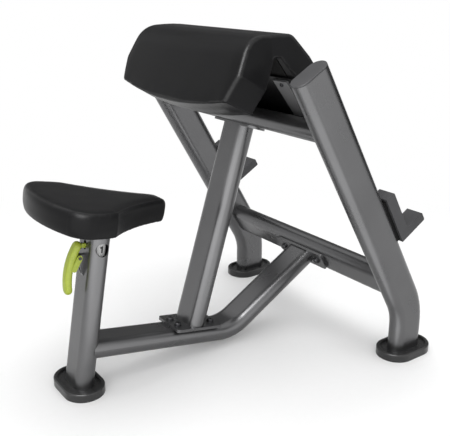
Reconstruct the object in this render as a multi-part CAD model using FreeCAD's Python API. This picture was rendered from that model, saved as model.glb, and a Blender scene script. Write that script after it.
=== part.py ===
import FreeCAD, Part
import math
import os
from FreeCAD import Placement, Rotation, Vector

os.makedirs("parts", exist_ok=True)

# Preacher curl bench, millimetres and degrees.
# +X runs from the seat to the rear legs, +Y to the sitter's left, +Z up.
# Lengths along X are first laid out from the seat foot; at the end everything
# is moved so that the origin is on the floor under the middle of the bench.

# Flat-oval tube of the frame
tube_wide = 100.0
tube_thick = 50.0
tube_wall = 3.0
cut_overrun = 5.0
loose_gap = 0.3

# Rubber feet
foot_long = 164.0
foot_wide = 106.0
foot_high = 22.0
foot_sole = 12.0
foot_rim = 10.0
foot_dish_depth = 6.0
foot_edge_round = 4.0
end_plate_thick = 8.0
foot_screw_radius = 5.0
foot_screw_head_radius = 10.0
foot_screw_head_high = 5.0
foot_screw_sink = 2.0
foot_screw_tip = 4.0

# Seat post and base beam
post_lean = 10.2
post_length = 424.0
beam_on_post = 102.0
beam_bend_radius = 118.0
beam_weld_line = 8.0

# Rear legs
leg_reach = 820.0
leg_spacing = 710.0
leg_bend_height = 133.0
leg_bend_radius = 170.0
leg_lean = 30.5
leg_long = 770.0
leg_cap_thick = 4.0
leg_cap_plug = 14.0
leg_cap_wall = 4.0
leg_cap_round = 1.5
leg_cap_seam = 0.8

# Crossbars, measured along the leg: the lower one from its bend corner, the upper one from its top
lower_bar_place = 95.0
upper_bar_drop = 168.0

# Plate that joins the beam to the lower crossbar
flange_wide = 206.0
flange_high = 60.0
flange_thick = 8.0
flange_corner = 14.0
flange_bolt_spacing = 146.0
slot_long = 16.0

# Column between the beam and the upper crossbar
column_plate_before_bend = 14.0
column_plate_long = 146.0
column_plate_wide = 108.0
column_plate_thick = 8.0
column_plate_corner = 10.0
column_bolt_long_spacing = 108.0
column_bolt_wide_spacing = 40.0
column_top_wide = 186.0
column_top_deep = 60.0
column_top_thick = 6.0
column_top_bolt_spacing = 146.0
column_top_head_radius = 9.5
column_top_head_high = 4.5

# Bolts and washers of the frame
bolt_radius = 5.0
bolt_hole_radius = 5.5
bolt_head_radius = 9.0
bolt_head_high = 6.0
bolt_head_round = 2.5
bolt_socket_radius = 3.0
bolt_socket_deep = 3.0
washer_radius = 10.5
washer_thick = 2.0
bolt_grip = 16.0

# Bar hooks on the rear edge of the legs, measured along the leg
hook_foot_place = 218.0
hook_high = 146.0
hook_back_thick = 30.0
hook_shelf_thick = 25.0
hook_reach = 91.0
hook_wide = 48.0
hook_round = 4.0
hook_inner_round = 8.0
saddle_wide = 34.0
saddle_thick = 3.0
saddle_margin = 8.0
hook_screw_radius = 4.0
hook_screw_head_radius = 7.5
hook_screw_head_high = 5.0
hook_screw_spacing = 46.0
hook_screw_low = 66.0
hook_screw_grip = 10.0

# Arm pad: a ridge with a chest side and a longer arm side
pad_rear_lean = 38.0
pad_rear_thick = 63.0
pad_rear_long = 264.0
pad_rear_above_bar = 198.0
pad_front_lean = 26.0
pad_front_thick = 84.0
pad_front_long = 181.0
pad_ridge_long = 121.0
pad_ridge_front_round = 66.0
pad_ridge_rear_round = 24.0
pad_lower_round = 12.0
pad_notch_depth = 53.0
pad_wide = 516.0
pad_ridge_taper = 17.0
pad_taper_rise = 92.0
pad_lower_taper = 18.5
pad_kink_rise = 88.0
pad_corner_rise = 26.0
pad_crown = 4.0
pad_end_round = 10.0

# Board, back plate and straps that carry the arm pad
pad_board_thick = 12.0
pad_board_margin = 12.0
pad_plate_thick = 6.0
pad_plate_margin = 6.0
pad_plate_top = 121.0
pad_plate_low = 44.0
strap_wide = 50.0
strap_thick = 6.0
strap_inset = 20.0
strap_top = 115.0
strap_slot_drop = 11.0
pad_slot_long = 13.0
pad_hole_radius = 3.4
pad_bolt_radius = 3.0
pad_bolt_head_radius = 5.25
pad_bolt_head_high = 3.5
pad_bolt_grip = 10.0

# Sliding inner seat post and its guides
inner_wall = 3.0
inner_tail = 275.0
guide_wall = 5.0
guide_gap = 0.08
guide_deep = 26.0
guide_flange = 4.0
guide_flange_round = 1.5
lower_guide_high = 40.0
seat_travel = 120.0

# Round window and number strip, from the top of the post
window_drop = 55.0
window_radius = 17.0
strip_wide = 22.0
strip_thick = 0.8
strip_margin = 14.0

# Seat
seat_plate_thick = 5.0
seat_plate_long = 140.0
seat_plate_wide = 124.0
seat_plate_corner = 16.0
seat_board_thick = 12.0
seat_board_share = 0.9
seat_pad_thick = 57.0
seat_half_wide = 171.0
seat_rear = 162.0
seat_nose = 176.0
seat_nose_half = 24.0
seat_screw_radius = 4.0
seat_screw_head_radius = 7.0
seat_screw_head_high = 4.5
seat_screw_long_spacing = 108.0
seat_screw_wide_spacing = 100.0

# Release lever, its bracket and the clamp shoe, from the top and the face of the post
clamp_drop = 55.0
clamp_slot_wide = 15.0
clamp_slot_high = 24.0
clamp_slot_rise = 1.5
arm_wide = 9.0
arm_high = 10.0
shoe_thick = 5.0
shoe_wide = 11.0
shoe_high = 11.0
pivot_drop = 84.5
pivot_stand = 15.5
pivot_radius = 2.5
pivot_gap = 0.05
pivot_head_radius = 4.0
pivot_head_high = 1.5
lug_radius = 6.0
lug_thick = 4.0
bracket_roof_rise = 7.5
bracket_top_deep = 10.0
bracket_roof_thick = 3.0
bracket_back_thick = 3.0
bracket_tail_drop = 47.5
lever_wide = 28.0
ear_thick = 4.0
ear_inset = 1.0
ear_radius = 7.2
ear_tail_drop = 28.0
ear_tail_stand = 26.5
handle_top_drop = 58.0
handle_top_stand = 22.2
handle_mid_drop = 116.0
handle_mid_stand = 36.8
handle_low_drop = 166.0
handle_low_stand = 33.6
handle_thick = 18.0
handle_round = 8.0
handle_relief = 0.8
spring_wire = 1.2
spring_radius = 3.9
spring_quarters = 11
spring_pitch = 1.7
spring_tip_drop = 42.5
spring_arm = 3.5
spring_samples = 18
arm_pin_radius = 1.75
arm_pin_stick_out = 3.0
arm_pin_stand = 9.0

# Shares chosen by hand
seat_section_shares = ((0.0, 0.975), (0.16, 0.99), (0.32, 0.998), (0.48, 1.0), (0.64, 1.0), (0.79, 0.995),
                       (0.93, 0.975), (1.0, 0.92))
seat_wing_share = 0.94
seat_wing_place_share = 0.18
seat_side_place_share = 0.48
seat_hollow_share = 0.055
seat_corner_place_shares = (0.86, 0.77)
seat_corner_bulge_shares = (0.74, 0.94)
seat_nose_corner_share = 0.94


def at(x, y, z, lean=0.0):
    """A local frame: its Z axis leans by lean degrees from vertical towards +X."""
    return Placement(Vector(x, y, z), Rotation(Vector(0, 1, 0), lean))


def put(shape, frame):
    moved = shape.copy()
    moved.Placement = frame.multiply(moved.Placement)
    return moved


def spot(frame, x=0.0, y=0.0, z=0.0):
    return frame.multVec(Vector(x, y, z))


def turn(frame, x, y, z):
    return frame.Rotation.multVec(Vector(x, y, z))


def box(x0, x1, y0, y1, z0, z1):
    return Part.makeBox(x1 - x0, y1 - y0, z1 - z0, Vector(x0, y0, z0))


def rod(radius, start, end):
    along = end - start
    return Part.makeCylinder(radius, along.Length, start, along)


def cone(radius_start, radius_end, start, end):
    along = end - start
    return Part.makeCone(radius_start, radius_end, along.Length, start, along)


def oval_face(centre, wide_way, thin_way, wide, thin):
    """Flat-oval face: two straight sides and two round ends."""
    flat = wide_way * ((wide - thin) / 2)
    tip = wide_way * (wide / 2)
    side = thin_way * (thin / 2)
    a = centre - flat - side
    b = centre + flat - side
    c = centre + flat + side
    d = centre - flat + side
    edges = [
        Part.LineSegment(a, b).toShape(),
        Part.Arc(b, centre + tip, c).toShape(),
        Part.LineSegment(c, d).toShape(),
        Part.Arc(d, centre - tip, a).toShape(),
    ]
    return Part.Face(Part.Wire(edges))


def oval_bar(wide, thin, z0, z1, wide_along_y=True):
    """Upright flat-oval bar in its local frame."""
    ways = (Vector(0, 1, 0), Vector(1, 0, 0)) if wide_along_y else (Vector(1, 0, 0), Vector(0, 1, 0))
    return oval_face(Vector(0, 0, z0), ways[0], ways[1], wide, thin).extrude(Vector(0, 0, z1 - z0))


def cross_bar(wide, thin, half_long, frame, wide_up):
    """Flat-oval bar along Y, centred on a frame, wide along its Z or its X axis."""
    up = turn(frame, 0, 0, 1)
    out = turn(frame, 1, 0, 0)
    ways = (up, out) if wide_up else (out, up)
    face = oval_face(spot(frame, 0, -half_long, 0), ways[0], ways[1], wide, thin)
    return face.extrude(Vector(0, half_long + half_long, 0))


def bent_bar(points, radius, wide, thin, wide_along_y):
    """Flat-oval bar along points in an XZ plane, each corner bent round an axis along Y."""
    pieces = []
    start = points[0]
    for i in range(1, len(points)):
        way = (points[i] - points[i - 1]).normalize()
        end = points[i]
        bend = i < len(points) - 1
        if bend:
            next_way = (points[i + 1] - points[i]).normalize()
            half_turn = way.getAngle(next_way) / 2
            end = points[i] - way * (radius * math.tan(half_turn))
        side = Vector(0, 1, 0)
        across = side.cross(way)
        ways = (side, across) if wide_along_y else (across, side)
        face = oval_face(start, ways[0], ways[1], wide, thin)
        pieces.append(face.extrude(end - start))
        if bend:
            inward = (next_way - way * way.dot(next_way)).normalize()
            hub = end + inward * radius
            face = oval_face(end, ways[0], ways[1], wide, thin)
            axis = way.cross(next_way)
            pieces.append(face.revolve(hub, axis, math.degrees(half_turn + half_turn)))
            start = points[i] + next_way * (radius * math.tan(half_turn))
    return pieces[0].fuse(pieces[1:]).removeSplitter()


def rounded_plate(long, wide, corner, z0, z1):
    """Plate centred on Z with rounded corners, long along X and wide along Y."""
    plate = box(-long / 2, long / 2, -wide / 2, wide / 2, z0, z1)
    uprights = [e for e in plate.Edges if abs(e.tangentAt(e.FirstParameter).z) > 0.5]
    return plate.makeFillet(corner, uprights)


def socket_bolt(head_radius, head_high, radius, grip):
    """Button-head bolt: the underside of its head is at Z = 0, its shank points down."""
    head = Part.makeCylinder(head_radius, head_high)
    top_edges = [e for e in head.Edges if e.CenterOfMass.z > head_high / 2 and len(e.Vertexes) == 1]
    head = head.makeFillet(min(bolt_head_round, head_high / 2), top_edges)
    socket_floor = Vector(0, 0, head_high - bolt_socket_deep)
    socket = rod(bolt_socket_radius, socket_floor, Vector(0, 0, head_high + cut_overrun))
    return head.cut(socket).fuse(rod(radius, Vector(0, 0, -grip), Vector(0, 0, 0))).removeSplitter()


def washer(radius, hole_radius, thick):
    ring = Part.makeCylinder(radius, thick)
    return ring.cut(rod(hole_radius, Vector(0, 0, -cut_overrun), Vector(0, 0, thick + cut_overrun)))


def meet(p, way, q, other):
    """Where the line from p along way crosses the line from q along other, in XZ."""
    gap = q - p
    share = (gap.x * other.z - gap.z * other.x) / (way.x * other.z - way.z * other.x)
    return p + way * share


def is_edge_along_y(edge, corner):
    if abs(edge.tangentAt(edge.FirstParameter).y) < 0.5:
        return False
    away = edge.CenterOfMass - corner
    return math.hypot(away.x, away.z) < loose_gap


window_height = post_length - window_drop
clamp_height = post_length - clamp_drop
pivot_height = post_length - pivot_drop
tube_in_wide = tube_wide - tube_wall - tube_wall
tube_in_thick = tube_thick - tube_wall - tube_wall
inner_wide = tube_in_wide - guide_wall - guide_wall
inner_thick = tube_in_thick - guide_wall - guide_wall
half_thick = tube_thick / 2
half_wide = tube_wide / 2
slot_wide = bolt_hole_radius + bolt_hole_radius
leg_y = leg_spacing / 2
leg_inner = leg_y - half_thick
sides = (("left", 1), ("right", -1))
parts = {}

# Local frames of the tubes
post = at(0, 0, foot_sole, post_lean)
beam = at(spot(post, 0, 0, beam_on_post).x, 0, spot(post, 0, 0, beam_on_post).z, post_lean)
leg = at(leg_reach, 0, leg_bend_height, -leg_lean)
lower_bar = at(spot(leg, 0, 0, lower_bar_place).x, 0, spot(leg, 0, 0, lower_bar_place).z, -leg_lean)
upper_centre = spot(leg, 0, 0, leg_long - upper_bar_drop)

# The beam runs square to the post, bends, and runs square to the lower crossbar
beam_way = turn(beam, 1, 0, 0)
rise_way = turn(leg, 1, 0, 0)
beam_corner = meet(spot(beam), beam_way, spot(lower_bar), rise_way)

# The column stands on the beam and points at the middle of the upper crossbar
beam_turn = beam_way.getAngle(rise_way)
beam_straight = (beam_corner - spot(beam)).Length - beam_bend_radius * math.tan(beam_turn / 2)
column_place = beam_straight - column_plate_before_bend - column_plate_long / 2
column_foot = spot(beam, column_place, 0, half_thick + column_plate_thick)
column_line = upper_centre - column_foot
column_lean = math.degrees(math.atan2(column_line.x, column_line.z))
column = at(column_foot.x, 0, column_foot.z, column_lean)
upper_bar = at(upper_centre.x, 0, upper_centre.z, column_lean)
column_plate = at(column_foot.x, 0, column_foot.z, post_lean)


def foot_slab(z0, z1):
    """Level slab wider than a foot, between two heights."""
    return box(-foot_long, foot_long, -foot_long, foot_long, z0, z1)


def feet_and_end_plates():
    """Rubber dish under each tube, the plate welded in the tube's end and its screw."""
    places = [("seat_foot", "seat_post_end_plate", at(0, 0, 0), post, True)]
    for name, way in sides:
        stand = at(leg_reach, way * leg_y, 0)
        tube = at(leg_reach, way * leg_y, foot_sole)
        places.append((name + "_rear_foot", name + "_leg_end_plate", stand, tube, False))
    screws = []
    for foot_name, plate_name, stand, tube, along_y in places:
        body = oval_bar(foot_long, foot_wide, 0, foot_high, along_y)
        top_edges = [e for e in body.Edges if e.CenterOfMass.z > foot_high - loose_gap]
        body = body.makeFillet(foot_edge_round, top_edges)
        dish_long = foot_long - foot_rim - foot_rim
        dish_wide = foot_wide - foot_rim - foot_rim
        dish = oval_bar(dish_long, dish_wide, foot_high - foot_dish_depth, foot_high + cut_overrun, along_y)
        body = put(body.cut(dish), stand)
        high = foot_high + foot_high
        pocket = oval_bar(tube_wide + loose_gap, tube_thick + loose_gap, -foot_high, high, along_y)
        body = body.cut(put(pocket, tube).common(put(foot_slab(foot_sole, high), stand)))
        head_low = foot_screw_sink
        head_top = head_low + foot_screw_head_high
        tip = foot_sole + end_plate_thick + foot_screw_tip
        neck = Vector(0, 0, head_top)
        shank = rod(foot_screw_radius, neck, Vector(0, 0, tip))
        head = cone(foot_screw_head_radius, foot_screw_radius, Vector(0, 0, head_low), neck)
        well = rod(foot_screw_head_radius, Vector(0, 0, -cut_overrun), Vector(0, 0, head_low))
        screw = put(head.fuse(shank).removeSplitter(), stand)
        screws.append(screw)
        plate = put(oval_bar(tube_in_wide, tube_in_thick, -foot_high, high, along_y), tube)
        slab = put(foot_slab(foot_sole, foot_sole + end_plate_thick), stand)
        parts[foot_name] = body.cut(screw).cut(put(well, stand))
        parts[plate_name] = plate.common(slab).cut(screw)
    parts["foot_screws"] = Part.makeCompound(screws)


def seat_post_tube():
    """Outer post, cut level at the foot, with the number window and the clamp slot."""
    outer = oval_bar(tube_wide, tube_thick, -tube_wide, post_length)
    inner = oval_bar(tube_in_wide, tube_in_thick, -tube_wide - cut_overrun, post_length + cut_overrun)
    window = rod(window_radius, Vector(0, -tube_wide, window_height), Vector(0, 0, window_height))
    slot_centre = Vector(-half_thick - cut_overrun, 0, clamp_height + clamp_slot_rise)
    slot = oval_face(slot_centre, Vector(0, 0, 1), Vector(0, 1, 0), clamp_slot_high, clamp_slot_wide)
    slot = slot.extrude(Vector(half_thick, 0, 0))
    tube = put(outer.cut(inner).cut(window).cut(slot), post)
    below = box(-tube_wide, tube_wide, -tube_wide, tube_wide, -tube_wide - tube_wide, foot_sole)
    return tube.cut(below)


def tube_of_points(points, radius, wide_along_y):
    outer = bent_bar(points, radius, tube_wide, tube_thick, wide_along_y)
    inner = bent_bar(points, radius, tube_in_wide, tube_in_thick, wide_along_y)
    return outer, inner


def base_beam():
    """Beam from the seat post to the flange, mitred round the post's tube."""
    flange_face = spot(lower_bar, -half_thick - flange_thick, 0, 0)
    points = [spot(beam), beam_corner, flange_face]
    outer, inner = tube_of_points(points, beam_bend_radius, True)
    post_body = put(oval_bar(tube_wide, tube_thick, -tube_wide, post_length), post)
    near_post = put(box(-tube_wide, beam_weld_line, -tube_wide, tube_wide, -tube_wide, tube_wide), beam)
    tube = outer.cut(inner).cut(post_body).cut(near_post)
    pieces = sorted(tube.Solids, key=lambda s: s.Volume)
    return pieces[-1].cut(put(bolt_holes(column_bolt_places(), half_thick), column_plate))


def column_bolt_places():
    places = []
    for i in (-1, 1):
        for j in (-1, 1):
            places.append(Vector(i * column_bolt_long_spacing / 2, j * column_bolt_wide_spacing / 2, 0))
    return places


def bolt_holes(places, deep):
    """Clearance holes along local Z, down to deep below each place."""
    holes = [rod(bolt_hole_radius, p - Vector(0, 0, deep), p + Vector(0, 0, cut_overrun)) for p in places]
    return Part.makeCompound(holes)


def column_pieces():
    """Column tube, its foot plate with four bolts and its top plate with two screws."""
    top = column_line.Length - half_thick - column_top_thick
    outer = put(oval_bar(tube_wide, tube_thick, -tube_wide, top), column)
    inner = put(oval_bar(tube_in_wide, tube_in_thick, -tube_wide - cut_overrun, top + cut_overrun), column)
    reach = tube_wide + tube_wide
    below = put(box(-reach, reach, -reach, reach, -reach, 0), column_plate)
    parts["column"] = outer.cut(inner).cut(below)

    places = column_bolt_places()
    plate = rounded_plate(column_plate_long, column_plate_wide, column_plate_corner, -column_plate_thick, 0)
    plate = plate.cut(bolt_holes(places, column_plate_thick + cut_overrun))
    parts["column_base_plate"] = put(plate, column_plate)
    rings = []
    bolts = []
    for place in places:
        rings.append(put(washer(washer_radius, bolt_hole_radius, washer_thick), at(place.x, place.y, 0)))
        bolt = socket_bolt(bolt_head_radius, bolt_head_high, bolt_radius, bolt_grip)
        bolts.append(put(bolt, at(place.x, place.y, washer_thick)))
    parts["column_base_washers"] = put(Part.makeCompound(rings), column_plate)
    parts["column_base_bolts"] = put(Part.makeCompound(bolts), column_plate)

    under = at(0, 0, -half_thick - column_top_thick)
    screws = []
    for i in (-1, 1):
        foot = Vector(0, i * column_top_bolt_spacing / 2, 0)
        neck = foot + Vector(0, 0, column_top_head_high)
        head = cone(column_top_head_radius, bolt_radius, foot, neck)
        shank = rod(bolt_radius, neck, foot + Vector(0, 0, bolt_grip))
        screws.append(head.fuse(shank).removeSplitter())
    plate = oval_bar(column_top_wide, column_top_deep, 0, column_top_thick).cut(screws)
    parts["column_top_plate"] = put(put(plate, under), upper_bar)
    parts["column_top_screws"] = put(put(Part.makeCompound(screws), under), upper_bar)


def legs_and_caps():
    """Bent rear legs with their flat end caps."""
    for name, way in sides:
        shift = Vector(0, way * leg_y, 0)
        foot = Vector(leg_reach, 0, foot_sole)
        points = [p + shift for p in (foot, spot(leg), spot(leg, 0, 0, leg_long))]
        outer, inner = tube_of_points(points, leg_bend_radius, False)
        frame = Placement(leg.Base + shift, leg.Rotation)
        screw_holes = [put(hole, frame) for hole in hook_screw_shapes(hook_screw_radius)]
        parts[name + "_leg"] = outer.cut(inner).cut(screw_holes)
        cap = oval_bar(tube_wide, tube_thick, leg_long, leg_long + leg_cap_thick, False)
        top_edges = [e for e in cap.Edges if e.BoundBox.ZMin > leg_long + leg_cap_thick - loose_gap]
        cap = cap.makeFillet(leg_cap_round, top_edges)
        seam_edges = [e for e in cap.Edges if e.BoundBox.ZMax < leg_long + loose_gap]
        cap = cap.makeChamfer(leg_cap_seam, seam_edges)
        plug_wide = tube_in_wide - loose_gap
        plug_thick = tube_in_thick - loose_gap
        plug_end = leg_long - leg_cap_plug
        plug = oval_bar(plug_wide, plug_thick, plug_end, leg_long, False)
        thin_by = leg_cap_wall + leg_cap_wall
        hollow = oval_bar(plug_wide - thin_by, plug_thick - thin_by, plug_end - cut_overrun, leg_long, False)
        parts[name + "_leg_cap"] = put(cap.fuse(plug).removeSplitter().cut(hollow), frame)


def hook_screw_shapes(radius):
    """The two screws of a hook in the leg's frame, plain shanks of a given radius."""
    front = half_wide + saddle_thick + hook_back_thick
    back = half_wide - hook_screw_grip
    shanks = []
    for i in (0, 1):
        height = hook_foot_place + hook_screw_low + i * hook_screw_spacing
        shanks.append(rod(radius, Vector(back, 0, height), Vector(front, 0, height)))
    return shanks


def bar_hooks():
    """L-shaped hook on a saddle that fits the round rear edge of each leg."""
    back = half_wide + saddle_thick
    front = back + hook_back_thick
    tip = back + hook_reach
    low = hook_foot_place
    high = low + hook_high
    shelf = low + hook_shelf_thick
    half = hook_wide / 2
    corners = [(back, low), (tip, low), (tip, shelf), (front, shelf), (front, high), (back, high)]
    outline = Part.makePolygon([Vector(x, -half, z) for x, z in corners + corners[:1]])
    block = Part.Face(outline).extrude(Vector(0, hook_wide, 0))
    inner_edges = [e for e in block.Edges if is_edge_along_y(e, Vector(front, 0, shelf))]
    block = block.makeFillet(hook_inner_round, inner_edges)
    outer_edges = []
    for corner in (Vector(tip, 0, low), Vector(tip, 0, shelf), Vector(front, 0, high)):
        outer_edges += [e for e in block.Edges if is_edge_along_y(e, corner)]
    block = block.makeFillet(hook_round, outer_edges)
    screws = []
    for shank in hook_screw_shapes(hook_screw_radius):
        height = shank.CenterOfMass.z
        face = Vector(front, 0, height)
        neck = face - Vector(hook_screw_head_high, 0, 0)
        head = cone(hook_screw_radius, hook_screw_head_radius, neck, face)
        screws.append(shank.fuse(head).removeSplitter())
    block = block.cut(screws)
    saddle_low = low + saddle_margin
    saddle_high = high - saddle_margin
    saddle = box(half_thick, back, -saddle_wide / 2, saddle_wide / 2, saddle_low, saddle_high)
    saddle = saddle.cut(oval_bar(tube_wide, tube_thick, low, high, False)).cut(screws)
    all_screws = []
    for name, way in sides:
        frame = Placement(leg.Base + Vector(0, way * leg_y, 0), leg.Rotation)
        parts[name + "_bar_hook"] = put(block, frame)
        parts[name + "_hook_saddle"] = put(saddle, frame)
        all_screws += [put(s, frame) for s in screws]
    parts["hook_screws"] = Part.makeCompound(all_screws)


def crossbars():
    """Lower crossbar flat against the legs, upper crossbar square to the column."""
    legs_solid = []
    for way in (-1, 1):
        frame = Placement(leg.Base + Vector(0, way * leg_y, 0), leg.Rotation)
        legs_solid.append(put(oval_bar(tube_wide, tube_thick, 0, leg_long, False), frame))
    outer = cross_bar(tube_wide, tube_thick, leg_inner, lower_bar, True)
    inner = cross_bar(tube_in_wide, tube_in_thick, leg_inner + cut_overrun, lower_bar, True)
    before = -half_thick - cut_overrun
    holes = [rod(bolt_hole_radius, Vector(before, y, 0), Vector(0, y, 0)) for y in flange_bolt_ys()]
    parts["lower_crossbar"] = outer.cut(inner).cut([put(h, lower_bar) for h in holes])
    outer = cross_bar(tube_wide, tube_thick, leg_y, upper_bar, False)
    inner = cross_bar(tube_in_wide, tube_in_thick, leg_y + cut_overrun, upper_bar, False)
    holes = []
    for i in (-1, 1):
        y = i * column_top_bolt_spacing / 2
        holes.append(rod(bolt_radius, Vector(0, y, before), Vector(0, y, 0)))
    tube = outer.cut(inner).cut(legs_solid).cut([put(h, upper_bar) for h in holes])
    parts["upper_crossbar"] = sorted(tube.Solids, key=lambda s: s.Volume)[-1]


def flange_bolt_ys():
    return [i * flange_bolt_spacing / 2 for i in (-1, 1)]


def beam_flange():
    """Slotted plate at the beam's end, bolted to the lower crossbar."""
    facing = lower_bar.Rotation.multiply(Rotation(Vector(0, 1, 0), -90))
    face = Placement(spot(lower_bar, -half_thick, 0, 0), facing)
    plate = rounded_plate(flange_high, flange_wide, flange_corner, 0, flange_thick)
    slots = []
    rings = []
    bolts = []
    for y in flange_bolt_ys():
        centre = Vector(0, y, -cut_overrun)
        slot = oval_face(centre, Vector(0, 1, 0), Vector(1, 0, 0), slot_long, slot_wide)
        slots.append(slot.extrude(Vector(0, 0, flange_thick + cut_overrun + cut_overrun)))
        rings.append(put(washer(washer_radius, bolt_hole_radius, washer_thick), at(0, y, flange_thick)))
        bolt = socket_bolt(bolt_head_radius, bolt_head_high, bolt_radius, bolt_grip)
        bolts.append(put(bolt, at(0, y, flange_thick + washer_thick)))
    parts["beam_flange_plate"] = put(plate.cut(slots), face)
    parts["beam_flange_washers"] = put(Part.makeCompound(rings), face)
    parts["beam_flange_bolts"] = put(Part.makeCompound(bolts), face)


# The arm side of the pad lies on a plate that rests on the upper crossbar's round edge
bar_tilt = math.radians(column_lean + pad_rear_lean)
bar_reach = (half_wide - half_thick) * math.cos(bar_tilt) + half_thick
rest_centre = spot(at(upper_centre.x, 0, upper_centre.z, -pad_rear_lean), bar_reach + loose_gap, 0, 0)
rest = at(rest_centre.x, 0, rest_centre.z, -pad_rear_lean)


def pad_profile():
    """Corner points of the pad's end view, in XZ, the outside first."""
    rear_outer = pad_plate_thick + pad_rear_thick
    rear_top = spot(rest, rear_outer, 0, pad_rear_above_bar)
    front_top = rear_top - Vector(pad_ridge_long, 0, 0)
    front = at(front_top.x, 0, front_top.z, pad_front_lean)
    front_low = spot(front, 0, 0, -pad_front_long)
    front_low_in = spot(front, pad_front_thick, 0, -pad_front_long)
    front_crown = spot(front, -pad_crown, 0, -pad_front_long / 2)
    rear_low = spot(rest, rear_outer, 0, pad_rear_above_bar - pad_rear_long)
    rear_crown = spot(rest, rear_outer + pad_crown, 0, pad_rear_above_bar - pad_rear_long / 2)
    rear_low_in = spot(rest, pad_plate_thick, 0, pad_rear_above_bar - pad_rear_long)
    level = Vector(rear_top.x, 0, rear_top.z - pad_notch_depth)
    sideways = Vector(1, 0, 0)
    notch_front = meet(level, sideways, front_low_in, turn(front, 0, 0, 1))
    notch_rear = meet(level, sideways, rear_low_in, turn(rest, 0, 0, 1))
    outside = (front_low, front_crown, front_top, rear_top, rear_crown, rear_low)
    inside = (rear_low_in, notch_rear, notch_front, front_low_in)
    return front, outside, inside


def pad_face(y):
    """The pad's end view as a face in the plane at y."""
    outside, inside = [[p + Vector(0, y, 0) for p in row] for row in pad_profile()[1:]]
    front_low, front_crown, front_top, rear_top, rear_crown, rear_low = outside
    edges = [Part.Arc(front_low, front_crown, front_top).toShape()]
    edges.append(Part.LineSegment(front_top, rear_top).toShape())
    edges.append(Part.Arc(rear_top, rear_crown, rear_low).toShape())
    chain = [rear_low] + inside + [front_low]
    for a, b in zip(chain[:-1], chain[1:]):
        edges.append(Part.LineSegment(a, b).toShape())
    return Part.Face(Part.Wire(edges))


def panel_cutter(frame, widths, low_level, reach):
    """Block with the outline of one side of the pad, round at its foot.

    widths lists the half width at each level, from above the ridge down to the lower corner.
    """
    left = [Vector(-reach, half, level) for level, half in reversed(widths)]
    right = [Vector(-reach, -half, level) for level, half in widths]
    points = left + right
    edges = [Part.LineSegment(a, b).toShape() for a, b in zip(points[:-1], points[1:])]
    edges.append(Part.Arc(points[-1], Vector(-reach, 0, low_level), points[0]).toShape())
    block = Part.Face(Part.Wire(edges)).extrude(Vector(reach + reach, 0, 0))
    return put(block, frame)


def pad_body():
    """The padded ridge: both sides taper to the ridge and meet in one plane under its middle."""
    front, outside, inside = pad_profile()
    front_low, front_top, rear_top, rear_low = [outside[i] for i in (0, 2, 3, 5)]
    body = pad_face(-pad_wide / 2).extrude(Vector(0, pad_wide, 0))
    rounds = ((front_top, pad_ridge_front_round), (rear_top, pad_ridge_rear_round))
    for corner, radius in rounds:
        edges = [e for e in body.Edges if is_edge_along_y(e, corner)]
        body = body.makeFillet(radius, edges)
    lower = []
    for corner in (front_low, rear_low, inside[0], inside[-1]):
        lower += [e for e in body.Edges if is_edge_along_y(e, corner)]
    body = body.makeFillet(pad_lower_round, lower)

    reach = pad_wide
    half_kink = pad_wide / 2
    half_low = half_kink - pad_lower_taper
    half_long = pad_ridge_long / 2
    front_slope = math.radians(pad_front_lean)
    rear_slope = math.radians(pad_rear_lean)
    low = -pad_front_long
    kink = low + pad_kink_rise
    taper = pad_ridge_taper / pad_taper_rise
    half_ridge = half_kink + taper * kink
    widths = [(reach, half_ridge - taper * reach), (kink, half_kink), (low + pad_corner_rise, half_low)]
    front_cutter = panel_cutter(front, widths, low, reach)

    rear_taper = taper * math.cos(front_slope) / math.cos(rear_slope)
    half_middle = half_ridge - taper * half_long * math.sin(front_slope)
    half_rear_ridge = half_middle + rear_taper * half_long * math.sin(rear_slope)
    rear_kink = pad_rear_above_bar - (half_kink - half_rear_ridge) / rear_taper
    low = pad_rear_above_bar - pad_rear_long
    above = pad_rear_above_bar + reach
    widths = [(above, half_rear_ridge - rear_taper * reach), (rear_kink, half_kink)]
    widths += [(low + pad_kink_rise, half_kink), (low + pad_corner_rise, half_low)]
    rear_cutter = panel_cutter(rest, widths, low, reach)

    split = rear_top.x - half_long
    front_half = body.common(box(-reach, split, -reach, reach, 0, reach + reach)).common(front_cutter)
    rear_half = body.common(box(split, reach + reach, -reach, reach, 0, reach + reach)).common(rear_cutter)
    body = front_half.fuse(rear_half).removeSplitter()
    return body.makeFillet(pad_end_round, [e for e in body.Edges if is_pad_end_edge(e, front)])


def is_pad_end_edge(edge, front):
    """True on the outer edges of the pad's two ends, from one lower corner over the ridge to the other."""
    point = edge.valueAt((edge.FirstParameter + edge.LastParameter) / 2)
    way = edge.tangentAt((edge.FirstParameter + edge.LastParameter) / 2)
    if abs(point.y) < pad_wide / 2 - pad_ridge_taper - pad_ridge_taper or abs(way.y) > 0.5:
        return False
    on_front = front.inverse().multVec(point)
    on_rear = rest.inverse().multVec(point)
    in_front = on_front.x < pad_lower_round and on_front.z > -pad_front_long + pad_corner_rise
    rear_depth = pad_plate_thick + pad_rear_thick - on_rear.x
    rear_corner = pad_rear_above_bar - pad_rear_long + pad_corner_rise
    in_rear = rear_depth < pad_lower_round and on_rear.z > rear_corner
    crest = spot(rest, pad_plate_thick + pad_rear_thick, 0, pad_rear_above_bar).z
    return in_front or in_rear or crest - point.z < loose_gap


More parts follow.
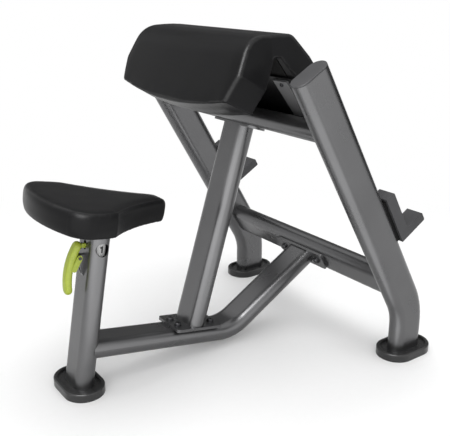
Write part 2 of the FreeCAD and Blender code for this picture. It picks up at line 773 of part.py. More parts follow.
def arm_pad_pieces():
    """Padded ridge, the board in its underside, the back plate, straps and bolts."""
    profile = pad_profile()
    front = profile[0]
    notch_rear, notch_front = profile[-1][1:-1]
    body = pad_body()
    half_board = pad_wide / 2 - pad_lower_taper - pad_board_margin
    rear_end = pad_rear_above_bar - pad_rear_long + pad_board_margin + pad_corner_rise
    board_low = spot(rest, pad_plate_thick, 0, rear_end)
    board_end = spot(rest, pad_plate_thick + pad_board_thick, 0, rear_end)
    front_foot = -pad_front_long + pad_board_margin + pad_corner_rise
    front_end = spot(front, pad_front_thick, 0, front_foot)
    front_end_in = spot(front, pad_front_thick - pad_board_thick, 0, front_foot)
    roof = notch_rear + Vector(0, 0, pad_board_thick)
    roof_rear = meet(roof, Vector(1, 0, 0), board_end, turn(rest, 0, 0, 1))
    roof_front = meet(roof, Vector(1, 0, 0), front_end_in, turn(front, 0, 0, 1))
    outline = [board_low, notch_rear, notch_front, front_end, front_end_in, roof_front, roof_rear, board_end]
    outline = [p - Vector(0, half_board, 0) for p in outline]
    board = Part.Face(Part.makePolygon(outline + outline[:1])).extrude(Vector(0, half_board + half_board, 0))

    half_plate = pad_wide / 2 - pad_plate_margin
    plate = box(0, pad_plate_thick, -half_plate, half_plate, -pad_plate_low, pad_plate_top)
    bar_solid = cross_bar(tube_wide, tube_thick, leg_inner, upper_bar, False)
    straps = {}
    bolt_frame = Placement(Vector(-strap_thick, 0, 0), Rotation(Vector(0, 1, 0), -90))
    bolts = []
    holes = []
    for name, way in sides:
        y = way * (half_board - strap_inset)
        height = strap_top - strap_slot_drop
        strap = box(-strap_thick, 0, y - strap_wide / 2, y + strap_wide / 2, 0, strap_top)
        centre = Vector(-strap_thick - cut_overrun, y, height)
        slot_across = pad_hole_radius + pad_hole_radius
        slot = oval_face(centre, Vector(0, 1, 0), Vector(0, 0, 1), pad_slot_long, slot_across)
        strap = strap.cut(slot.extrude(Vector(strap_thick + cut_overrun + cut_overrun, 0, 0)))
        deep = strap_thick + pad_plate_thick + pad_bolt_grip
        holes.append(rod(pad_hole_radius, Vector(-cut_overrun, y, height), Vector(deep, y, height)))
        bolt = socket_bolt(pad_bolt_head_radius, pad_bolt_head_high, pad_bolt_radius, deep - cut_overrun)
        bolts.append(put(put(bolt, at(height, y, 0)), bolt_frame))
        straps[name] = put(strap, rest).cut(bar_solid)
    holes = put(Part.makeCompound(holes), rest)
    parts["arm_pad"] = body.cut(board).cut(holes)
    parts["arm_pad_board"] = board.cut(holes)
    parts["arm_pad_plate"] = put(plate, rest).cut(holes)
    for name, way in sides:
        parts[name + "_pad_strap"] = sorted(straps[name].Solids, key=lambda s: s.Volume)[-1]
    parts["arm_pad_bolts"] = put(Part.makeCompound(bolts), rest)


def seat_guides_and_inner_post():
    """Collar in the top of the outer post, and the sliding post with its lower guide."""
    run_wide = inner_wide + guide_gap + guide_gap
    run_thick = inner_thick + guide_gap + guide_gap
    sleeve = oval_bar(tube_in_wide, tube_in_thick, post_length - guide_deep, post_length)
    flange = oval_bar(tube_wide, tube_thick, post_length, post_length + guide_flange)
    top_edges = [e for e in flange.Edges if e.CenterOfMass.z > post_length + guide_flange - loose_gap]
    flange = flange.makeFillet(guide_flange_round, top_edges)
    bore_low = post_length - guide_deep - cut_overrun
    bore = oval_bar(run_wide, run_thick, bore_low, post_length + guide_flange + cut_overrun)
    parts["seat_post_collar"] = put(sleeve.fuse(flange).removeSplitter().cut(bore), post)

    top = post_length + guide_flange
    tail = top - inner_tail
    outer = oval_bar(inner_wide, inner_thick, tail, top)
    hollow_wide = inner_wide - inner_wall - inner_wall
    hollow_thick = inner_thick - inner_wall - inner_wall
    hollow = oval_bar(hollow_wide, hollow_thick, tail - cut_overrun, top + cut_overrun)
    strip_top = window_height + strip_margin
    strip_low = window_height - seat_travel - strip_margin
    arc_centre = -(inner_wide - inner_thick) / 2
    foot = Vector(0, arc_centre, strip_low)
    head = Vector(0, arc_centre, strip_top)
    strip = rod(inner_thick / 2, foot, head)
    core = rod(inner_thick / 2 - strip_thick, foot, head)
    keep = box(-strip_wide / 2, strip_wide / 2, -inner_wide, arc_centre, strip_low, strip_top)
    strip = strip.cut(core).common(keep)
    parts["seat_inner_post"] = put(outer.cut(hollow).cut(strip), post)
    parts["number_strip"] = put(strip, post)

    guide_wide = tube_in_wide - guide_gap - guide_gap
    guide_thick = tube_in_thick - guide_gap - guide_gap
    lower = oval_bar(guide_wide, guide_thick, tail - guide_flange, tail + lower_guide_high)
    lower = lower.cut(oval_bar(inner_wide, inner_thick, tail, tail + lower_guide_high + cut_overrun))
    through = oval_bar(hollow_wide, hollow_thick, tail - guide_flange - cut_overrun, tail + cut_overrun)
    parts["inner_post_guide"] = put(lower.cut(through), post)


def seat_outline(share, level):
    """Seat plan at a level: round rear, full sides, hollowed front edges and a blunt nose."""
    corner_x = -seat_rear * seat_corner_place_shares[0]
    corner_y = seat_half_wide * seat_corner_place_shares[1]
    bulge_x = -seat_rear * seat_corner_bulge_shares[0]
    bulge_y = seat_half_wide * seat_corner_bulge_shares[1]
    side_x = -seat_rear * seat_side_place_share
    wing_x = -seat_rear * seat_wing_place_share
    wing_y = seat_half_wide * seat_wing_share
    nose_x = seat_nose * seat_nose_corner_share
    rear_corner = Vector(corner_x, corner_y, 0)
    bulge = Vector(bulge_x, bulge_y, 0)
    side = Vector(side_x, seat_half_wide, 0)
    wing = Vector(wing_x, wing_y, 0)
    side_mid = (side + wing) * 0.5 + Vector(0, (seat_half_wide - wing_y) / 4, 0)
    nose_side = Vector(nose_x, seat_nose_half + seat_nose - nose_x, 0)
    chord = nose_side - wing
    inward = Vector(chord.y, -chord.x, 0)
    hollow = (wing + nose_side) * 0.5 + inward * seat_hollow_share
    nose = Vector(seat_nose, seat_nose_half, 0)
    nose_mid = (nose_side + nose) * 0.5 + (nose_side - nose).cross(Vector(0, 0, 1)) * seat_hollow_share

    def flat(p):
        return Vector(p.x * share, p.y * share, level)

    def mirrored(p):
        return Vector(p.x * share, -p.y * share, level)

    arcs = [(rear_corner, bulge, side), (side, side_mid, wing)]
    arcs += [(wing, hollow, nose_side), (nose_side, nose_mid, nose)]
    rear = Vector(-seat_rear, 0, 0)
    edges = [Part.Arc(mirrored(rear_corner), flat(rear), flat(rear_corner)).toShape()]
    edges += [Part.Arc(flat(a), flat(b), flat(c)).toShape() for a, b, c in arcs]
    edges.append(Part.LineSegment(flat(nose), mirrored(nose)).toShape())
    edges += [Part.Arc(mirrored(c), mirrored(b), mirrored(a)).toShape() for a, b, c in reversed(arcs)]
    return Part.Wire(edges)


def seat_pieces():
    """Seat plate on the inner post, the board and the crowned pad with its screws."""
    plate_low = post_length + guide_flange
    plate_top = plate_low + seat_plate_thick
    plate = rounded_plate(seat_plate_long, seat_plate_wide, seat_plate_corner, plate_low, plate_top)
    board = Part.Face(seat_outline(seat_board_share, plate_top)).extrude(Vector(0, 0, seat_board_thick))
    sections = [seat_outline(share, plate_top + rise * seat_pad_thick) for rise, share in seat_section_shares]
    pad = Part.makeLoft(sections, True)
    screws = []
    for i in (-1, 1):
        for j in (-1, 1):
            x = i * seat_screw_long_spacing / 2
            y = j * seat_screw_wide_spacing / 2
            shank_long = seat_plate_thick + seat_board_thick - loose_gap
            screw = socket_bolt(seat_screw_head_radius, seat_screw_head_high, seat_screw_radius, shank_long)
            flip = Placement(Vector(x, y, plate_low), Rotation(Vector(1, 0, 0), 180))
            screws.append(put(screw, flip))
    parts["seat_plate"] = put(plate.cut(screws), post)
    parts["seat_board"] = put(board.cut(screws), post)
    parts["seat_pad"] = put(pad.cut(board), post)
    parts["seat_screws"] = put(Part.makeCompound(screws), post)


def lever_pieces():
    """Lever with its two ears and clamp arm, the bracket and pin that carry it, shoe and spring."""
    face = -half_thick
    pivot = Vector(face - pivot_stand, 0, pivot_height)
    half = lever_wide / 2

    top = Vector(face - handle_top_stand, 0, post_length - handle_top_drop)
    middle = Vector(face - handle_mid_stand, 0, post_length - handle_mid_drop)
    low = Vector(face - handle_low_stand, 0, post_length - handle_low_drop)
    hub = Part.Arc(top, middle, low).toShape().Curve.Center
    top_out = (top - hub).normalize()
    low_out = (low - hub).normalize()
    sweep = math.degrees(top_out.getAngle(low_out))
    section_edges = half_section(top, top_out, 1) + half_section(top, top_out, -1)
    section = Part.Face(Part.Wire(Part.__sortEdges__(section_edges)))
    grip = section.revolve(hub, Vector(0, -1, 0), sweep)
    handle = grip.fuse([handle_end(top, top_out, -1), handle_end(low, low_out, 1)])

    tail = Vector(face - ear_tail_stand, 0, pivot_height - ear_tail_drop)
    centre = (pivot + tail) * 0.5
    ear_long = (tail - pivot).Length + ear_radius + ear_radius
    ear_way = (tail - pivot).normalize()
    across = ear_way.cross(Vector(0, 1, 0))
    ear_outer = half - ear_inset
    ears = []
    for low_y in (-ear_outer, ear_outer - ear_thick):
        ear = oval_face(centre + Vector(0, low_y, 0), ear_way, across, ear_long, ear_radius + ear_radius)
        ears.append(ear.extrude(Vector(0, ear_thick, 0)))
    arm_end = -inner_thick / 2 - loose_gap - shoe_thick
    arm_low = clamp_height - arm_high / 2
    arm_root = face - handle_top_stand
    arm = box(arm_root, arm_end, -arm_wide / 2, arm_wide / 2, arm_low, arm_low + arm_high)
    ear_inner = Vector(0, ear_outer - ear_thick, 0)
    relief = rod(lug_radius + handle_relief, pivot - ear_inner, pivot + ear_inner)
    lever = handle.cut(relief).fuse(ears + [arm]).removeSplitter()
    bore = rod(pivot_radius + pivot_gap, pivot - Vector(0, lever_wide, 0), pivot + Vector(0, lever_wide, 0))
    pin_place = Vector(face - arm_pin_stand, 0, arm_low - arm_pin_stick_out)
    pin_high = arm_high + arm_pin_stick_out + arm_pin_stick_out
    arm_pin = rod(arm_pin_radius, pin_place, pin_place + Vector(0, 0, pin_high))
    parts["seat_lever"] = put(lever.cut(bore).cut(arm_pin), post)
    parts["arm_pin"] = put(arm_pin, post)

    shoe_low = clamp_height - shoe_high / 2
    shoe = box(arm_end, arm_end + shoe_thick, -shoe_wide / 2, shoe_wide / 2, shoe_low, shoe_low + shoe_high)
    parts["clamp_shoe"] = put(shoe, post)

    parts["lever_bracket"] = put(lever_bracket(pivot, ear_outer - ear_thick - loose_gap), post)
    pin = rod(pivot_radius, pivot - Vector(0, half + loose_gap, 0), pivot + Vector(0, half + loose_gap, 0))
    for way in (-1, 1):
        start = pivot + Vector(0, way * (half + loose_gap), 0)
        pin = pin.fuse(rod(pivot_head_radius, start, start + Vector(0, way * pivot_head_high, 0)))
    parts["lever_pin"] = put(pin.removeSplitter(), post)
    parts["lever_spring"] = put(lever_spring(pivot), post)


def half_section(centre, out, way):
    """Half of the handle's outline across centre, from its outer to its inner side; way picks the half."""
    side = Vector(0, way, 0)
    flat = lever_wide / 2 - handle_round
    wall = handle_thick / 2 - handle_round
    lean = handle_round * math.cos(math.radians(45))
    outer = centre + out * (handle_thick / 2)
    inner = centre - out * (handle_thick / 2)
    rim = centre + side * (lever_wide / 2)
    ends = [outer, outer + side * flat, rim + out * wall, rim - out * wall, inner + side * flat, inner]
    outer_bow = centre + side * (flat + lean) + out * (wall + lean)
    inner_bow = centre + side * (flat + lean) - out * (wall + lean)
    return [
        Part.LineSegment(ends[0], ends[1]).toShape(),
        Part.Arc(ends[1], outer_bow, ends[2]).toShape(),
        Part.LineSegment(ends[2], ends[3]).toShape(),
        Part.Arc(ends[3], inner_bow, ends[4]).toShape(),
        Part.LineSegment(ends[4], ends[5]).toShape(),
    ]


def handle_end(centre, out, way):
    """Half turn of the half section, which rounds off an end of the handle."""
    edges = half_section(centre, out, 1)
    middle = out * (handle_thick / 2)
    edges.append(Part.LineSegment(centre - middle, centre + middle).toShape())
    return Part.Face(Part.Wire(edges)).revolve(centre, out * way, math.degrees(math.pi))


def touch_point(centre, radius, outer, way):
    """Where a line from outer touches the circle round centre, in XZ; way picks the side."""
    gap = outer - centre
    turn_by = way * math.degrees(math.acos(radius / gap.Length))
    return centre + Rotation(Vector(0, 1, 0), turn_by).multVec(gap.normalize() * radius)


def lever_bracket(pivot, half_bracket):
    """Folded bracket on the post: two cheeks with an eye for the pin, a back and a short roof."""
    face = -half_thick
    roof = pivot.z + bracket_roof_rise
    top_back = Vector(face, 0, roof)
    top_front = Vector(face - bracket_top_deep, 0, roof)
    low_point = Vector(face, 0, pivot.z - bracket_tail_drop)
    eye_top = touch_point(pivot, lug_radius, top_front, -1)
    eye_low = touch_point(pivot, lug_radius, low_point, 1)
    cheek = Part.Face(Part.makePolygon([top_back, top_front, eye_top, eye_low, low_point, top_back]))
    side = Vector(0, -half_bracket, 0)
    across = Vector(0, half_bracket + half_bracket, 0)
    cheek.translate(side)
    block = cheek.extrude(across).fuse(rod(lug_radius, pivot + side, pivot + side + across)).removeSplitter()
    front = pivot.x - lug_radius - cut_overrun
    inner = half_bracket - lug_thick
    under_roof = roof - bracket_roof_thick
    low = low_point.z - cut_overrun
    hollow = box(front, face - bracket_back_thick, -inner, inner, low, under_roof)
    open_front = box(front, face - bracket_top_deep, -inner, inner, low, roof + cut_overrun)
    pin_bore = rod(pivot_radius, pivot + side, pivot + side + across)
    return block.cut([hollow, open_front, pin_bore])


def biarc(p, tangent_p, q, tangent_q):
    """Two arcs that leave p along tangent_p and reach q along tangent_q."""
    gap = q - p
    both = tangent_p + tangent_q
    a = 2 * (1 - tangent_p.dot(tangent_q))
    b = 2 * gap.dot(both)
    c = -gap.dot(gap)
    reach = (-b + math.sqrt(b * b - 4 * a * c)) / (a + a)
    joint = (p + q + (tangent_p - tangent_q) * reach) * 0.5
    return [arc_from(p, tangent_p, joint), arc_from(joint, None, q, tangent_q)]


def arc_from(p, tangent, q, end_tangent=None):
    """Arc from p to q, given its tangent at one end."""
    way = tangent if tangent else end_tangent
    chord = q - p
    along = chord.dot(way)
    reach = chord.dot(chord) / (along + along)
    corner = p + way * reach if tangent else q - way * reach
    middle = (p + q) * 0.5
    lift = corner - middle
    half = chord.Length / 2
    height = lift.Length
    bow = half * math.tan(math.atan2(height, half) / 2)
    return Part.Arc(p, middle + lift.normalize() * bow, q).toShape()


def lever_spring(pivot):
    """Return spring round the lever's pin: a leg on the bracket's back, a coil of biarcs, a short arm."""
    off_back = bracket_back_thick + loose_gap + spring_wire / 2
    tip = Vector(-half_thick - off_back, 0, pivot.z - spring_tip_drop)
    touch = touch_point(pivot, spring_radius, tip, 1) - pivot
    first = math.atan2(touch.z, touch.x)
    rise = spring_pitch / math.radians(360)
    start_y = -spring_pitch * spring_quarters / 8
    points = []
    tangents = []
    for i in range(spring_quarters + 1):
        turned = math.radians(90 * i)
        angle = first - turned
        turn_x = spring_radius * math.cos(angle)
        turn_z = spring_radius * math.sin(angle)
        points.append(pivot + Vector(turn_x, start_y + rise * turned, turn_z))
        tangents.append(Vector(turn_z, rise, -turn_x).normalize())
    tip.y = start_y
    tangents[0] = (points[0] - tip).normalize()
    edges = [Part.LineSegment(tip, points[0]).toShape()]
    for i in range(spring_quarters):
        edges += biarc(points[i], tangents[i], points[i + 1], tangents[i + 1])
    coil = Part.Wire(edges[1:]).discretize(Number=spring_quarters * spring_samples + 1)
    arm_end = points[-1] + tangents[-1] * spring_arm
    edges.append(Part.LineSegment(points[-1], arm_end).toShape())
    ring = Part.Wire(Part.makeCircle(spring_wire / 2, tip, tangents[0]))
    turn_apart = spring_samples + spring_samples
    pairs = [(i, j) for i in range(len(coil)) for j in range(i + turn_apart, len(coil))]
    least_gap = min((coil[i] - coil[j]).Length for i, j in pairs) - spring_wire
    print("lever spring least gap between turns", round(least_gap, 3))
    return Part.Wire(edges).makePipeShell([ring], True, False)


feet_and_end_plates()
parts["seat_post"] = seat_post_tube()
parts["base_beam"] = base_beam()
column_pieces()
legs_and_caps()
bar_hooks()
crossbars()
beam_flange()
arm_pad_pieces()
seat_guides_and_inner_post()
seat_pieces()
lever_pieces()

# Move the whole bench so that the origin is on the floor under the middle of its box
whole = Part.makeCompound(list(parts.values()))
bounds = whole.optimalBoundingBox(False)
middle_x = (bounds.XMin + bounds.XMax) / 2
origin = Vector(-middle_x, 0, -bounds.ZMin)

for name, shape in parts.items():
    shape.translate(origin)
    shape.exportStep("parts/" + name + ".step")
    solids = len(shape.Solids)
    print(name, solids, "solid" if solids == 1 else "solids", round(shape.Volume), shape.isValid())

size = [round(v, 2) for v in (bounds.XLength, bounds.YLength, bounds.ZLength)]
print("box", size, "moved by", round(-middle_x, 3))
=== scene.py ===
import math

import bmesh
import bpy
from mathutils import Matrix, Vector
from mathutils.bvhtree import BVHTree


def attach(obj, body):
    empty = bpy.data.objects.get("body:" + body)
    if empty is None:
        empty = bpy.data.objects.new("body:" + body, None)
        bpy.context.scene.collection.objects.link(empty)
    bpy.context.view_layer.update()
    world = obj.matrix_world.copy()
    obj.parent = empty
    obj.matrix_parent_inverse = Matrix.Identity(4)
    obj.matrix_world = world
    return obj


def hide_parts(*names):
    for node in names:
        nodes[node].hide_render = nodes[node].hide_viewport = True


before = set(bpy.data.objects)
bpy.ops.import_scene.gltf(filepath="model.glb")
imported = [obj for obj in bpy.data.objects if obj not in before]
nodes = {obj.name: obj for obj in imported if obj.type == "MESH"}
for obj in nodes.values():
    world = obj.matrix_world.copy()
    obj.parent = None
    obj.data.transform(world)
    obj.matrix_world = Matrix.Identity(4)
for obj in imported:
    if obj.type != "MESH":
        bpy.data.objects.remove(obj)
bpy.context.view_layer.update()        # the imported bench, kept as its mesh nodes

scene = bpy.context.scene
scene.view_settings.view_transform = "Standard"


def screenColour(red, green, blue):       # picture values 0-255 to linear
    linear = []
    for value in (red, green, blue):
        share = value / 255
        linear.append(share / 12.92 if share <= 0.04045 else ((share + 0.055) / 1.055) ** 2.4)
    return (*linear, 1.0)


def addObject(name, mesh):
    piece = bpy.data.objects.new(name, mesh)
    scene.collection.objects.link(piece)
    return piece


def meshFrom(shape, name):
    mesh = bpy.data.meshes.new(name)
    shape.to_mesh(mesh)
    shape.free()
    return mesh


# camera at the photograph's stand point
viewSettings = {
    "place": (-1.02371, -1.50293, 0.99367),
    "tilt": 71.24,
    "swing": -35.5,
    "lens": 56.43,
    "sensor": 36.0,
}


def setCamera(settings):
    lens = bpy.data.cameras.new("standPoint")
    lens.sensor_fit = "HORIZONTAL"
    lens.sensor_width = settings["sensor"]
    lens.lens = settings["lens"]
    camera = addObject("standPoint", lens)
    camera.location = settings["place"]
    camera.rotation_euler = (math.radians(settings["tilt"]), 0.0, math.radians(settings["swing"]))
    scene.camera = camera


setCamera(viewSettings)
print("camera set")


# node helpers shared by the finishes
def addNode(tree, kind, values=None, links=None):
    node = tree.nodes.new(kind)
    for key, value in (values or {}).items():
        if isinstance(key, int) or key in node.inputs:
            node.inputs[key].default_value = value
        else:
            setattr(node, key, value)
    for key, source in (links or {}).items():
        tree.links.new(source, node.inputs[key])
    return node


def placeOn(tree, stretch=(1.0, 1.0, 1.0), turn=(0.0, 0.0, 0.0)):
    start = addNode(tree, "ShaderNodeTexCoord")
    values = {"Scale": stretch, "Rotation": [math.radians(angle) for angle in turn]}
    mapping = addNode(tree, "ShaderNodeMapping", values, {"Vector": start.outputs["Object"]})
    return mapping.outputs["Vector"]


def cloudOn(tree, place, scale, detail=3.0, rough=0.5):
    values = {"Scale": scale, "Detail": detail, "Roughness": rough}
    return addNode(tree, "ShaderNodeTexNoise", values, {"Vector": place}).outputs[0]


def cellsOn(tree, place, scale):          # distance to the nearest border between cells
    values = {"Scale": scale, "feature": "DISTANCE_TO_EDGE"}
    return addNode(tree, "ShaderNodeTexVoronoi", values, {"Vector": place}).outputs["Distance"]


def spread(tree, source, low, high, fromLow=0.3, fromHigh=0.7):
    values = {"From Min": fromLow, "From Max": fromHigh, "To Min": low, "To Max": high, "clamp": True}
    return addNode(tree, "ShaderNodeMapRange", values, {"Value": source}).outputs[0]


colourSockets = {"share": 0, "dark": 6, "light": 7, "result": 2}      # of a Mix node


def tint(tree, share, dark, light):
    values = {"data_type": "RGBA", colourSockets["dark"]: dark, colourSockets["light"]: light}
    mix = addNode(tree, "ShaderNodeMix", values, {colourSockets["share"]: share})
    return mix.outputs[colourSockets["result"]]


def tones(tree, pattern, settings):       # from the finish's dark tone to its light one, by a pattern
    share = spread(tree, pattern, 0.0, 1.0)
    return tint(tree, share, screenColour(*settings["dark"]), screenColour(*settings["light"]))


def blended(tree, share, first, second):
    return addNode(tree, "ShaderNodeMix", {"Factor": share}, {"A": first, "B": second}).outputs["Result"]


def combined(tree, operation, first, second):
    return addNode(tree, "ShaderNodeMath", {"operation": operation}, {0: first, 1: second}).outputs[0]


def relief(tree, height, depth, under=None):
    links = {"Height": height}
    if under is not None:
        links["Normal"] = under
    return addNode(tree, "ShaderNodeBump", {"Distance": depth, "Strength": 1.0}, links).outputs[0]


def startFinish(name, settings):
    finish = bpy.data.materials.new(name)
    finish.use_nodes = True
    tree = finish.node_tree
    skin = tree.nodes["Principled BSDF"]
    skin.inputs["Metallic"].default_value = settings.get("metal", 0.0)
    skin.inputs["Specular IOR Level"].default_value = settings.get("shine", 0.5)
    return finish, tree, skin


def bareFinish(name):                     # a material with nothing but its output
    finish = bpy.data.materials.new(name)
    finish.use_nodes = True
    tree = finish.node_tree
    tree.nodes.remove(tree.nodes["Principled BSDF"])
    return finish, tree


def paintSkin(tree, skin, colour, rough, normal):
    tree.links.new(colour, skin.inputs["Base Color"])
    tree.links.new(rough, skin.inputs["Roughness"])
    tree.links.new(normal, skin.inputs["Normal"])


# satin grey powder coat on the tubes and most plates
coatSettings = {
    "dark": (98, 98, 99),
    "light": (108, 108, 109),
    "metal": 0.9,
    "cloud": 7.0,
    "flake": 1500.0,
    "flakeShare": 0.35,
    "rough": (0.26, 0.33),
    "peel": 420.0,
    "peelDepth": 0.000012,
    "grit": 1900.0,
    "gritDepth": 0.000003,
}


def makeFrameCoat(settings):
    finish, tree, skin = startFinish("satinGreyCoat", settings)
    place = placeOn(tree)
    cloud = cloudOn(tree, place, settings["cloud"], detail=4.0)
    flake = cloudOn(tree, place, settings["flake"], detail=1.0)
    colour = tones(tree, blended(tree, settings["flakeShare"], cloud, flake), settings)
    rough = spread(tree, cloud, *settings["rough"])
    peel = relief(tree, cloudOn(tree, place, settings["peel"], detail=2.0), settings["peelDepth"])
    grit = relief(tree, cloudOn(tree, place, settings["grit"], detail=1.0), settings["gritDepth"], peel)
    paintSkin(tree, skin, colour, rough, grit)
    return finish


# grained black vinyl of the two pads
vinylSettings = {
    "dark": (18, 18, 19),
    "light": (23, 23, 24),
    "shine": 0.09,
    # shine on marked rims: a painted highlight on the pads' upward-facing edges
    "edgeHighlightShine": 0.28,
    "cloud": 5.0,
    "grain": 620.0,
    "grainDepth": 0.000025,
    "creaseWide": 0.22,
    "pore": 1500.0,
    "poreDepth": 0.000005,
    "rough": (0.3, 0.38),
}


def makeVinyl(settings):
    finish, tree, skin = startFinish("grainedBlackVinyl", settings)
    place = placeOn(tree)
    cloud = cloudOn(tree, place, settings["cloud"], detail=5.0, rough=0.6)
    cells = cellsOn(tree, place, settings["grain"])
    pores = cloudOn(tree, place, settings["pore"], detail=2.0)
    creases = spread(tree, cells, 0.0, 1.0, 0.0, settings["creaseWide"])
    colour = tones(tree, cloud, settings)
    rough = spread(tree, cloud, *settings["rough"])
    normal = relief(tree, pores, settings["poreDepth"], relief(tree, creases, settings["grainDepth"]))
    paintSkin(tree, skin, colour, rough, normal)
    # the rim mark raises the shine on sharp edges facing up: a painted highlight
    paintedHighlight = addNode(tree, "ShaderNodeAttribute", {"attribute_name": "paintedHighlight"}).outputs["Fac"]
    shine = spread(tree, paintedHighlight, settings["shine"], settings["edgeHighlightShine"], 0.0, 1.0)
    tree.links.new(shine, skin.inputs["Specular IOR Level"])
    return finish


# lever, hooks, caps, guides, rubber, number strip, the plate darkened as painted shade, straps and ink share
# one recipe
mouldings = {
    "limeMoulding": {"dark": (134, 150, 24), "light": (166, 180, 50), "rough": (0.42, 0.6), "cloud": 40.0,
                     "grain": 520.0, "grainDepth": 0.0002, "shine": 0.5, "mottle": 0.6},
    "hookNylon": {"dark": (48, 48, 50), "light": (62, 62, 64), "rough": (0.5, 0.66), "cloud": 14.0,
                  "grain": 900.0, "grainDepth": 0.00008, "shine": 0.4, "mottle": 0.3},
    "capPlastic": {"dark": (53, 53, 55), "light": (65, 65, 67), "rough": (0.44, 0.58), "cloud": 16.0,
                   "grain": 1000.0, "grainDepth": 0.00006, "shine": 0.45, "mottle": 0.3},
    "guideNylon": {"dark": (30, 30, 31), "light": (44, 44, 45), "rough": (0.4, 0.55), "cloud": 20.0,
                   "grain": 1100.0, "grainDepth": 0.00005, "shine": 0.4, "mottle": 0.25},
    "footRubber": {"dark": (40, 40, 41), "light": (52, 52, 52), "rough": (0.2, 0.28), "cloud": 22.0,
                   "grain": 700.0, "grainDepth": 0.00003, "shine": 0.4, "mottle": 0.4},
    "saddleRubber": {"dark": (12, 12, 12), "light": (19, 19, 19), "rough": (0.6, 0.78), "cloud": 24.0,
                     "grain": 800.0, "grainDepth": 0.0001, "shine": 0.1, "mottle": 0.4},
    "stripPlastic": {"dark": (150, 150, 150), "light": (168, 168, 167), "rough": (0.35, 0.48), "cloud": 30.0,
                     "grain": 1400.0, "grainDepth": 0.00002, "shine": 0.5, "mottle": 0.25},
    # near-black for the plate under the arm pad: painted shade of the notch
    "notchShadeBlack": {"dark": (17, 17, 18), "light": (24, 24, 25), "rough": (0.25, 0.35), "cloud": 12.0,
                   "grain": 700.0, "grainDepth": 0.00003, "shine": 0.2, "mottle": 0.3},
    "strapPaint": {"dark": (100, 100, 101), "light": (112, 112, 113), "rough": (0.32, 0.42), "cloud": 14.0,
                   "grain": 700.0, "grainDepth": 0.00003, "shine": 0.5, "mottle": 0.3},
    "digitInk": {"dark": (20, 20, 21), "light": (30, 30, 31), "rough": (0.45, 0.6), "cloud": 60.0,
                 "grain": 1600.0, "grainDepth": 0.00002, "shine": 0.4, "mottle": 0.3},
}


def makeMoulding(name, settings):
    finish, tree, skin = startFinish(name, settings)
    place = placeOn(tree)
    cloud = cloudOn(tree, place, settings["cloud"], detail=4.0)
    grain = cloudOn(tree, place, settings["grain"], detail=2.0, rough=0.6)
    colour = tones(tree, blended(tree, settings["mottle"], cloud, grain), settings)
    rough = spread(tree, grain, *settings["rough"])
    normal = relief(tree, grain, settings["grainDepth"])
    paintSkin(tree, skin, colour, rough, normal)
    return finish


# bare metal: sliding post with draw lines along it, and fasteners
metals = {
    "drawnPostSteel": {"dark": (150, 150, 152), "light": (178, 178, 180), "metal": 0.9, "rough": (0.26, 0.4),
                       "cloud": 9.0, "lines": 900.0, "stretch": (1.0, 1.0, 0.02), "turn": (0.0, -10.2, 0.0),
                       "lineDepth": 0.00001},
    "oxideSteel": {"dark": (54, 54, 56), "light": (82, 82, 84), "metal": 0.85, "rough": (0.32, 0.5),
                   "cloud": 60.0, "lines": 1200.0, "stretch": (1.0, 1.0, 1.0), "turn": (0.0, 0.0, 0.0),
                   "lineDepth": 0.000015},
}


def makeMetal(name, settings):
    finish, tree, skin = startFinish(name, settings)
    cloud = cloudOn(tree, placeOn(tree), settings["cloud"], detail=4.0)
    lines = cloudOn(tree, placeOn(tree, settings["stretch"], settings["turn"]), settings["lines"], detail=2.0)
    colour = tones(tree, cloud, settings)
    rough = spread(tree, lines, *settings["rough"])
    normal = relief(tree, lines, settings["lineDepth"])
    paintSkin(tree, skin, colour, rough, normal)
    return finish


# plywood boards behind the pads, stained near-black as painted shade of the hollow under the arm pad
boardSettings = {
    "dark": (12, 12, 12),
    "light": (20, 20, 19),
    "shine": 0.1,
    "ring": 60.0,
    "stretch": (0.12, 1.0, 1.0),
    "rough": (0.55, 0.75),
    "fibre": 900.0,
    "fibreDepth": 0.0001,
}


def makePlywood(settings):
    finish, tree, skin = startFinish("shadeDarkPlywood", settings)
    place = placeOn(tree, settings["stretch"])
    ring = cloudOn(tree, place, settings["ring"], detail=6.0, rough=0.65)
    fibre = cloudOn(tree, place, settings["fibre"])
    colour = tones(tree, ring, settings)
    rough = spread(tree, fibre, *settings["rough"])
    paintSkin(tree, skin, colour, rough, relief(tree, fibre, settings["fibreDepth"]))
    return finish


finishes = {name: makeMoulding(name, settings) for name, settings in mouldings.items()}
finishes.update({name: makeMetal(name, settings) for name, settings in metals.items()})
finishes["satinGreyCoat"] = makeFrameCoat(coatSettings)
finishes["grainedBlackVinyl"] = makeVinyl(vinylSettings)
finishes["shadeDarkPlywood"] = makePlywood(boardSettings)

# which CAD nodes wear which finish; what is not named here is painted frame
dressing = {
    "footRubber": ("seat_foot", "left_rear_foot", "right_rear_foot"),
    "saddleRubber": ("left_hook_saddle", "right_hook_saddle"),
    "limeMoulding": ("seat_lever",),
    "hookNylon": ("left_bar_hook", "right_bar_hook"),
    "capPlastic": ("left_leg_cap", "right_leg_cap"),
    "guideNylon": ("seat_post_collar", "inner_post_guide", "clamp_shoe"),
    "stripPlastic": ("number_strip",),
    "drawnPostSteel": ("seat_inner_post",),
    # boards near-black: painted shade of the notch under the arm pad
    "shadeDarkPlywood": ("arm_pad_board", "seat_board"),
    # plate near-black: painted shade of the notch under the arm pad
    "notchShadeBlack": ("arm_pad_plate",),
    "strapPaint": ("left_pad_strap", "right_pad_strap"),
    "grainedBlackVinyl": ("arm_pad", "seat_pad"),
    "oxideSteel": ("foot_screws", "column_base_washers", "column_base_bolts", "column_top_screws",
                   "hook_screws", "beam_flange_washers", "beam_flange_bolts", "arm_pad_bolts",
                   "seat_screws", "arm_pin", "lever_pin", "lever_spring"),
}


def wearFinish(piece, finish):
    piece.data.materials.clear()
    piece.data.materials.append(finish)


finishOf = {node: name for name, members in dressing.items() for node in members}
for nodeName, node in nodes.items():
    wearFinish(node, finishes[finishOf.get(nodeName, "satinGreyCoat")])
print("finishes on", len(nodes), "nodes")


